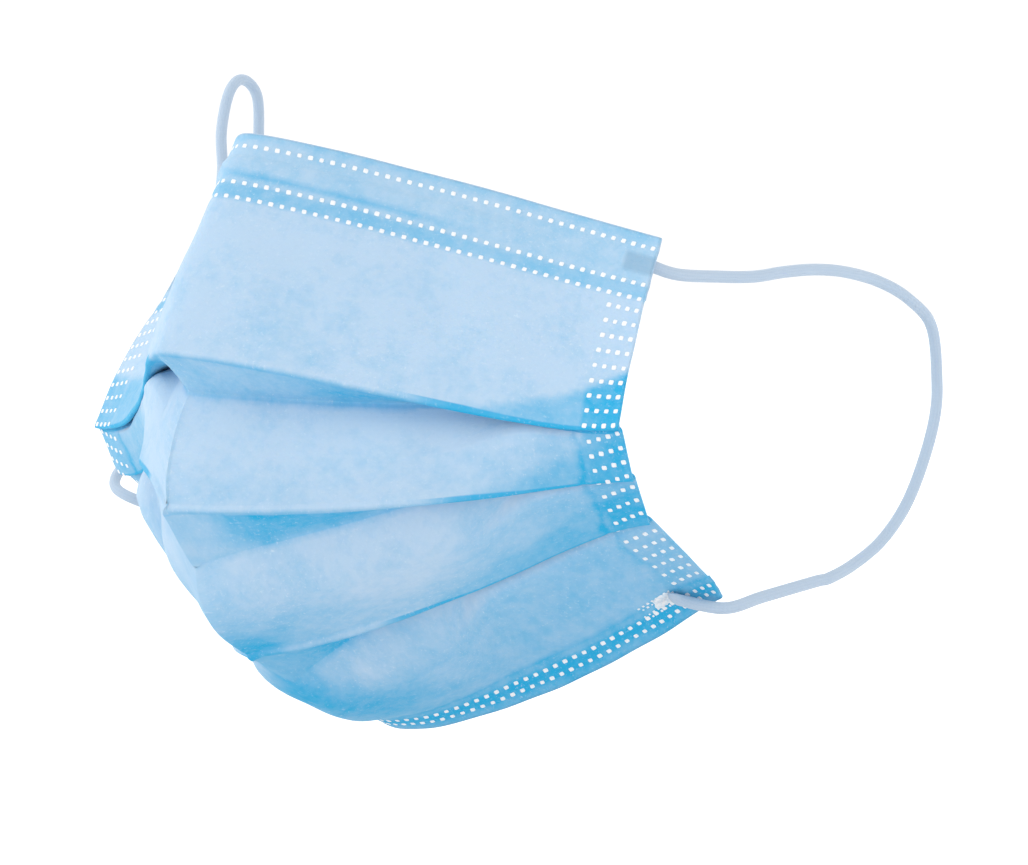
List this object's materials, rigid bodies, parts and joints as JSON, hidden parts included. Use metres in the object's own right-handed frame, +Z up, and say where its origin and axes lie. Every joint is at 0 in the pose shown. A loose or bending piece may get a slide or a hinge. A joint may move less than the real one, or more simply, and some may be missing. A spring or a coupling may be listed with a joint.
{
  "type": "surgical face mask",
  "caption": "Light blue pleated surgical face mask, opened as when worn, with bonded bands, a hidden nose wire and soft elastic ear loops.",
  "frame": {"origin": "where the top edge of the mask rests on the bridge of the nose", "axes": "+Z up for the wearer, -Y out of the front of the mask, +X towards the wearer's left"},
  "size_m": [0.1603, 0.1565, 0.1356],
  "materials": {
    "blue_nonwoven": "soft matte nonwoven cloth",
    "band_nonwoven": "soft matte nonwoven cloth",
    "nose_wire": "plastic-coated wire",
    "elastic": "soft round elastic",
    "melted_elastic": "pressed and melted elastic"
  },
  "bodies": {
    "root": {"mask_body": "blue_nonwoven", "top_band": "band_nonwoven", "bottom_band": "band_nonwoven", "nose_wire": "nose_wire", "ear_loop_left": "elastic", "ear_loop_right": "elastic", "weld_upper_left": "melted_elastic", "weld_upper_right": "melted_elastic", "weld_lower_left": "melted_elastic", "weld_lower_right": "melted_elastic"}
  },
  "joints": []
}
